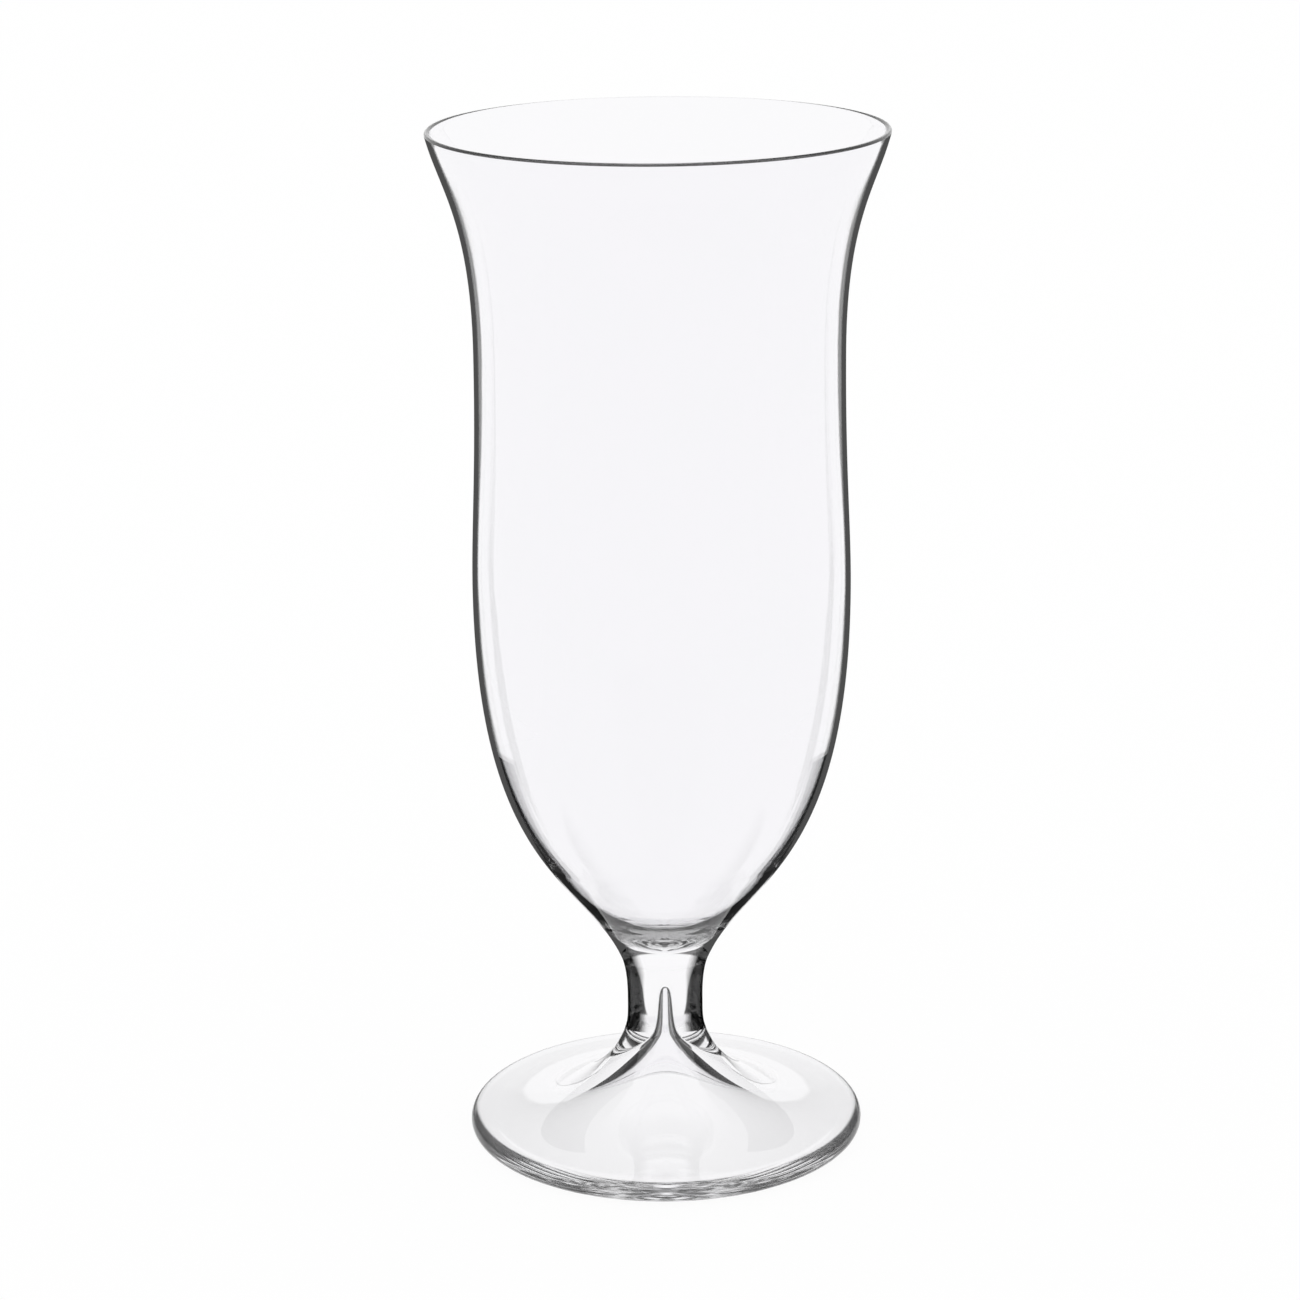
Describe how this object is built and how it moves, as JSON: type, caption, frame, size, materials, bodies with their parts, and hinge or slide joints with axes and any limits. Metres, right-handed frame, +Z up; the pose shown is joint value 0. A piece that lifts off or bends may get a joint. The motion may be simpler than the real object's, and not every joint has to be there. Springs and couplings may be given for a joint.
{
  "type": "cocktail glass",
  "caption": "Clear hurricane-style cocktail glass: thin flared rim, gently waisted bowl with a round belly, short solid stem and a broad domed foot. Stands on a table and holds a mixed drink.",
  "frame": {"origin": "centre of the flat ring under the foot, on the plane of the table", "axes": "+Z up along the axis of the glass; X and Y are level and free to choose, because the glass is round"},
  "size_m": [0.0846, 0.0846, 0.195],
  "materials": {
    "bowl_glass": "clear, fire-polished, very smooth",
    "stem_glass": "clear, faint drawn rings",
    "foot_glass": "clear, fire-polished, slightly wavy edge"
  },
  "bodies": {
    "root": {"bowl": "bowl_glass", "stem": "stem_glass", "foot": "foot_glass"}
  },
  "joints": []
}
